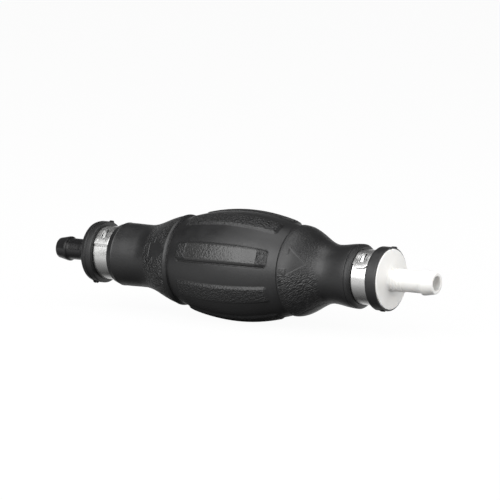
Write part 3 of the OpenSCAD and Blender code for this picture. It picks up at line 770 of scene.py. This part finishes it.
def stripAcross(half, fromSlotEnd):
    # places across the strip, row by row: the middle columns follow the slot's rim
    c = clamp
    bow = np.clip(c["slotRound"] - fromSlotEnd, 0, c["slotRound"])
    rimX = c["slotW"] / 2 - c["slotRound"] + np.sqrt(np.maximum(c["slotRound"] ** 2 - bow ** 2, 0))
    rimX = np.where(fromSlotEnd > -1e-6, rimX, c["slotW"] / 2 - c["slotRound"])
    rows = []
    for outerX, innerX in zip(half, np.maximum(rimX, 0.3)):
        left = np.linspace(-outerX, -innerX, c["sideColumns"] + 1)
        middle = np.linspace(-innerX, innerX, c["slotColumns"] + 1)
        right = np.linspace(innerX, outerX, c["sideColumns"] + 1)
        rows.append(np.concatenate([left[:-1], middle, right[1:]]))
    return np.array(rows)


def stripFaces(rows, columns, inSlot):
    # both faces of the strip, with the slot left open, and the walls that join their rims
    count = rows * columns
    firstHole = clamp["sideColumns"]
    faces, rim = [], {}
    for row in range(rows - 1):
        holeRow = inSlot[row] and inSlot[row + 1]
        for column in range(columns - 1):
            if holeRow and firstHole <= column < firstHole + clamp["slotColumns"]:
                continue
            a = row * columns + column
            quad = (a, a + 1, a + columns + 1, a + columns)
            faces += [quad, tuple(i + count for i in reversed(quad))]
            for pair in zip(quad, quad[1:] + quad[:1]):
                if pair[::-1] in rim:
                    del rim[pair[::-1]]
                else:
                    rim[pair] = True
    return faces + [(b, a, a + count, b + count) for a, b in rim]


def slotHook(centreX, first):
    # a lanced tab that rises through the slot; first is the number of its first point
    c = clamp
    footR = c["innerR"] + c["thick"]
    far, high = c["hookLen"] / 2, c["hookH"]
    profile = [(-far, -0.3), (far, -0.3), (far, high - 0.15), (far - 0.06, high - 0.04), (far - 0.15, high),
               (far - 0.45, high - 0.03), (far - 1.0, high * 0.8), (-far + 0.3, 0.1), (-far, 0.0)]
    points = [onAxis(centreX + side * c["hookW"] / 2, footR + h, c["angle"] + u * math.degrees(1 / footR))
              for side in (-1, 1) for u, h in profile]
    n = len(profile)
    faces = [tuple(range(first, first + n)), tuple(reversed(range(first + n, first + 2 * n)))]
    for i in range(n):
        a, b = first + i, first + (i + 1) % n
        faces.append((b, a, a + n, b + n))
    return np.array(points), faces


def stripClamp(name, cadNode, lead):
    # one strip: from the tongue's free end, down a step at its root, then round under the tongue;
    # lead is the way round in which it runs, +1 or -1
    c = clamp
    centreX = sum(spanX(cadNode)) / 2
    tongueR = c["innerR"] + c["thick"] + 0.01
    degPerMm = math.degrees(1 / (tongueR + c["thick"]))
    rootAt = c["endDeg"] + c["rootDeg"]
    slot = [c["endDeg"] + side * c["slotLen"] / 2 * degPerMm for side in (-1, 1)]
    along = stripStations(slot, rootAt, degPerMm)
    fromSlotEnd = np.minimum(along - slot[0], slot[1] - along) / degPerMm
    half = c["width"] / 2 - np.clip(c["clip"] - along / degPerMm, 0, c["clip"])
    across = stripAcross(half, fromSlotEnd)
    fromTip = along[:, None] / degPerMm + 0 * across
    fromSide = c["width"] / 2 - np.abs(across)
    fromRim = np.minimum(np.minimum(fromSide, fromTip), (fromTip + fromSide - c["clip"]) / math.sqrt(2))
    fromSlot = boxDistance(across, fromTip - c["endDeg"] / degPerMm, c["slotW"] / 2, c["slotLen"] / 2,
                           c["slotRound"])
    ridge = sum(c["ridgeH"] * np.exp(-((fromRim - d) / c["ridgeW"]) ** 2) for d in c["ridgesIn"])
    ridge = ridge * smoothStep((rootAt - c["climbDeg"] - along[:, None]) / 6)
    base = c["innerR"] + (tongueR - c["innerR"]) * smoothStep((rootAt - along) / c["climbDeg"])
    # the free end stands a little off the strip
    lift, reach = c["tipLift"]
    r = base[:, None] + ridge + lift * np.clip(1 - fromTip / reach, 0, 1) ** 2
    turn = c["angle"] + lead * (along[:, None] - c["endDeg"]) + 0 * across
    # the sheared edges are slightly rounded over, more on top than below
    edge = np.minimum(fromRim, np.abs(fromSlot) + 10 * (fromSlot < 0))
    soft = c["edgeRound"] * np.sqrt(np.clip(1 - edge / c["edgeRound"], 0, 1))
    top = onAxis(centreX + across, r + c["thick"] - soft * 0.8, turn).reshape(-1, 3)
    low = onAxis(centreX + across, r + soft * 0.3, turn).reshape(-1, 3)
    hookPoints, hookFaces = slotHook(centreX, 2 * len(top))
    faces = stripFaces(*across.shape, fromSlotEnd > -1e-6) + hookFaces
    piece = addMesh(name, np.vstack([top, low, hookPoints]), faces, stainlessStrip, "pump", sharp=40)
    work = bmesh.new()
    work.from_mesh(piece.data)
    bmesh.ops.recalc_face_normals(work, faces=work.faces)
    work.to_mesh(piece.data)
    work.free()
    # the cut faces at the tongue's free end and round the slot carry the painted shade
    shadedCutEdge = ((fromTip < 0.01) | (np.abs(fromSlot) < 0.03)).astype(float).ravel()
    mask = piece.data.attributes.new("shadedCutEdge", "FLOAT", "POINT")
    mask.data.foreach_set("value", np.concatenate([shadedCutEdge, shadedCutEdge, np.zeros(len(hookPoints))]))
    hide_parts(cadNode)


stripClamp("inlet_strip_clamp", "inlet_clamp", -1)
stripClamp("outlet_strip_clamp", "outlet_clamp", 1)
print("clamps")

# Check valves: the springs are wound as coils, the other parts keep their solids
spring = {
    "meanR": 2.5, "wireR": 0.25, "length": 7.4, "travel": 2.4,
    "turns": 6, "deadTurns": 0.9, "flatShare": 0.6, "easeTurns": 0.6, "endGap": 0.03,
    "perTurn": 28, "sides": 10,
}


def coil(name, cadNode, guideNode):
    # wound up to the guide's face; the end turns lie flat, nearly closed on themselves
    s = spring
    wireR, turns = s["wireR"], s["turns"]
    startX = spanX(guideNode)[0] - s["length"]
    centreLen = s["length"] - 2 * wireR
    steps = int(turns * s["perTurn"])
    turn = np.linspace(0, turns, steps + 1)
    deadRise = 2 * wireR + s["endGap"]
    liveRise = (centreLen - 2 * s["deadTurns"] * deadRise) / (turns - 2 * s["deadTurns"])
    fromDead = np.minimum(turn, turns - turn) - s["deadTurns"] * s["flatShare"]
    rate = deadRise + (liveRise - deadRise) * smoothStep(fromDead / s["easeTurns"])
    rise = np.concatenate([[0], np.cumsum((rate[1:] + rate[:-1]) / 2 * np.diff(turn))])
    rise = rise * centreLen / rise[-1]
    points = []
    for k in range(steps + 1):
        for j in range(s["sides"]):
            a = 2 * math.pi * j / s["sides"]
            points.append(onAxis(startX + wireR + rise[k] + wireR * math.sin(a),
                                 s["meanR"] + wireR * math.cos(a), 360 * turn[k]))
    n = s["sides"]
    faces = [(k * n + j, k * n + (j + 1) % n, (k + 1) * n + (j + 1) % n, (k + 1) * n + j)
             for k in range(steps) for j in range(n)]
    faces += [tuple(reversed(range(n))), tuple(range(steps * n, steps * n + n))]
    piece = addMesh(name, np.array(points), faces, springWire, "pump", sharp=60)
    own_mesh(piece)
    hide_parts(cadNode)


coil("inlet_coil_spring", "inlet_spring", "inlet_spring_guide")
coil("outlet_coil_spring", "outlet_spring", "outlet_spring_guide")

valveFinish = {"seat": naturalAcetal, "poppet": naturalAcetal, "spring_guide": naturalAcetal,
               "seat_oring": sealRubber, "poppet_seal": sealRubber}
for end in ("inlet", "outlet"):
    for part, material in valveFinish.items():
        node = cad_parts[f"{end}_{part}"]
        node.data.materials.clear()
        node.data.materials.append(material)
print("check valves")

stage = {
    "floorZ": -25.1, "floorSize": 9000.0, "paper": ("#f0f0f0", "#f5f5f5"), "fibre": 1.1,
    "bounce": "#545454",  # the paper painted darker as the object sees it: painted shade on its underside
    "mirrorGlowFront": (-75.0, -9.0), "mirrorGlowBehind": (-5.0, 14.0),  # painted light on the paper as mirrors see it, with a painted shadow between, along Y
    "glowSeen": 0.95, "glowFront": 0.85, "glowBehind": 0.9,
    "backdropTop": (0.30, 0.12), "backdropFront": (-0.1, 0.3),  # where it fades, by direction
    "aim": (3.80, 0.0, 0.0), "aimUp": 6.98, "distance": 1600.0, "azimuth": 33.0, "elevation": 8.28,
    "lens": 259.2, "sensor": 36.0,
    "ambient": 0.3, "room": 0.12,  # the room's light, and as mirrors see it
}


def paperFloor():
    # seamless white paper: matt, and it reads as the plain background to the camera
    material, tree, shader, place = newMaterial("seamlessWhitePaper")
    path = addNode(tree, "ShaderNodeLightPath")
    fibres = addNode(tree, "ShaderNodeTexNoise", inputs={
        "Vector": place, "Scale": patternScale(stage["fibre"]), "Detail": 2.0})
    tone = addNode(tree, "ShaderNodeValToRGB", inputs={"Fac": fibres.outputs["Fac"]},
                   stops=[(0.3, stage["paper"][0]), (0.7, stage["paper"][1])])
    # the paper is painted darker for every ray but the camera's, as painted shade: little light comes back
    # up from the table to the object
    seen = addNode(tree, "ShaderNodeMix", {"data_type": "RGBA"}, {
        0: path.outputs["Is Camera Ray"], 6: toLinear(stage["bounce"]), 7: tone.outputs["Color"]})
    tree.links.new(seen.outputs[2], shader.inputs["Base Color"])
    setSockets(shader, {"Roughness": 0.9, "Specular IOR Level": 0.1})
    glow = addNode(tree, "ShaderNodeEmission", inputs={"Color": (1, 1, 1, 1), "Strength": 1.0})
    mirror = addNode(tree, "ShaderNodeMath", {"operation": "ADD"}, {
        0: path.outputs["Is Glossy Ray"], 1: path.outputs["Is Transmission Ray"]})
    # mirrors see a painted glow on the paper in front and far behind, standing in for the lit paper, and
    # between them a painted shadow of the object, where the glow is left out
    axes = addNode(tree, "ShaderNodeSeparateXYZ", inputs={0: place})
    frontA, frontB = (v * mm for v in stage["mirrorGlowFront"])
    behindA, behindB = (v * mm for v in stage["mirrorGlowBehind"])
    behind = addNode(tree, "ShaderNodeMapRange", inputs={
        "Value": axes.outputs["Y"], "From Min": behindA, "From Max": behindB,
        "To Min": 0.0, "To Max": stage["glowBehind"]})
    front = addNode(tree, "ShaderNodeMapRange", inputs={
        "Value": axes.outputs["Y"], "From Min": frontA, "From Max": frontB,
        "To Min": stage["glowFront"], "To Max": 0.0})
    white = addNode(tree, "ShaderNodeMath", {"operation": "ADD"}, {
        0: behind.outputs["Result"], 1: front.outputs["Result"]})
    mirrorShare = addNode(tree, "ShaderNodeMath", {"operation": "MULTIPLY"}, {
        0: mirror.outputs[0], 1: white.outputs[0]})
    share = addNode(tree, "ShaderNodeMath", {"operation": "MULTIPLY_ADD", "use_clamp": True}, {
        0: path.outputs["Is Camera Ray"], 1: stage["glowSeen"], 2: mirrorShare.outputs[0]})
    mix = addNode(tree, "ShaderNodeMixShader", inputs={
        0: share.outputs[0], 1: shader.outputs["BSDF"], 2: glow.outputs["Emission"]})
    output = [n for n in tree.nodes if n.type == "OUTPUT_MATERIAL"][0]
    tree.links.new(mix.outputs["Shader"], output.inputs["Surface"])
    return material


edge = stage["floorSize"] / 2 * mm
floorMesh = bpy.data.meshes.new("floor")
floorMesh.from_pydata([(-edge, -edge, 0), (edge, -edge, 0), (edge, edge, 0), (-edge, edge, 0)],
                      [], [(0, 1, 2, 3)])
floorMesh.materials.append(paperFloor())
floor = bpy.data.objects.new("floor", floorMesh)
floor.location = (0, 0, stage["floorZ"] * mm)
bpy.context.scene.collection.objects.link(floor)

world = bpy.data.worlds.new("whiteRoom")
bpy.context.scene.world = world
world.use_nodes = True
tree = world.node_tree
tree.nodes.clear()
path = addNode(tree, "ShaderNodeLightPath")
mirror = addNode(tree, "ShaderNodeMath", {"operation": "MAXIMUM"}, {
    0: path.outputs["Is Glossy Ray"], 1: path.outputs["Is Transmission Ray"]})
# the white backdrop stands low behind the object, and the room round it is dim
where = addNode(tree, "ShaderNodeTexCoord")
axes = addNode(tree, "ShaderNodeSeparateXYZ", inputs={0: where.outputs["Generated"]})
low = addNode(tree, "ShaderNodeMapRange", {"interpolation_type": "SMOOTHSTEP"}, {
    "Value": axes.outputs["Z"], "From Min": stage["backdropTop"][0], "From Max": stage["backdropTop"][1]})
back = addNode(tree, "ShaderNodeMapRange", {"interpolation_type": "SMOOTHSTEP"}, {
    "Value": axes.outputs["Y"], "From Min": stage["backdropFront"][0],
    "From Max": stage["backdropFront"][1]})
backdrop = addNode(tree, "ShaderNodeMath", {"operation": "MULTIPLY"}, {
    0: low.outputs["Result"], 1: back.outputs["Result"]})
mirrored = addNode(tree, "ShaderNodeMapRange", inputs={
    "Value": backdrop.outputs[0], "To Min": stage["room"], "To Max": 1.0})
level = addNode(tree, "ShaderNodeMix", {"data_type": "FLOAT"}, {
    0: mirror.outputs[0], 2: stage["ambient"], 3: mirrored.outputs["Result"]})
level = addNode(tree, "ShaderNodeMath", {"operation": "MAXIMUM"}, {
    0: level.outputs[0], 1: path.outputs["Is Camera Ray"]})
sky = addNode(tree, "ShaderNodeBackground", inputs={"Color": (1, 1, 1, 1), "Strength": level.outputs[0]})
addNode(tree, "ShaderNodeOutputWorld", inputs={"Surface": sky.outputs["Background"]})

# each light: the way to it, its distance, width, height and power; all are soft
lights = {
    "keyStripbox": ((-0.10, -0.84, 0.53), 1200.0, 1300.0, 1300.0, 18.3),  # high in front
    "topStripbox": ((-0.10, -0.06, 0.99), 1200.0, 800.0, 700.0, 4.4),  # the sheen along the top
    "sideBoard": ((0.96, -0.06, 0.27), 1300.0, 1900.0, 950.0, 15.6),  # lights the white disk
}
for name, (wayTo, distance, width, height, power) in lights.items():
    data = bpy.data.lights.new(name, "AREA")
    data.shape = "RECTANGLE"
    data.size, data.size_y = width * mm, height * mm
    data.energy = power
    lamp = bpy.data.objects.new(name, data)
    direction = Vector(wayTo).normalized()
    lamp.location = direction * distance * mm
    lamp.rotation_euler = direction.to_track_quat("Z", "Y").to_euler()
    bpy.context.scene.collection.objects.link(lamp)

azimuth, elevation = math.radians(stage["azimuth"]), math.radians(stage["elevation"])
toCamera = Vector((math.sin(azimuth) * math.cos(elevation), -math.cos(azimuth) * math.cos(elevation),
                   math.sin(elevation)))
upward = Vector((-math.sin(azimuth) * math.sin(elevation), math.cos(azimuth) * math.sin(elevation),
                 math.cos(elevation)))
aim = Vector(stage["aim"]) + upward * stage["aimUp"]
cameraData = bpy.data.cameras.new("camera")
cameraData.lens = stage["lens"]
cameraData.sensor_width = stage["sensor"]
cameraData.clip_end = 50.0
camera = bpy.data.objects.new("camera", cameraData)
camera.location = (aim + toCamera * stage["distance"]) * mm
camera.rotation_euler = toCamera.to_track_quat("Z", "Y").to_euler()
bpy.context.scene.collection.objects.link(camera)
bpy.context.scene.camera = camera
bpy.context.scene.view_settings.view_transform = "Standard"
print("stage, lights and camera")
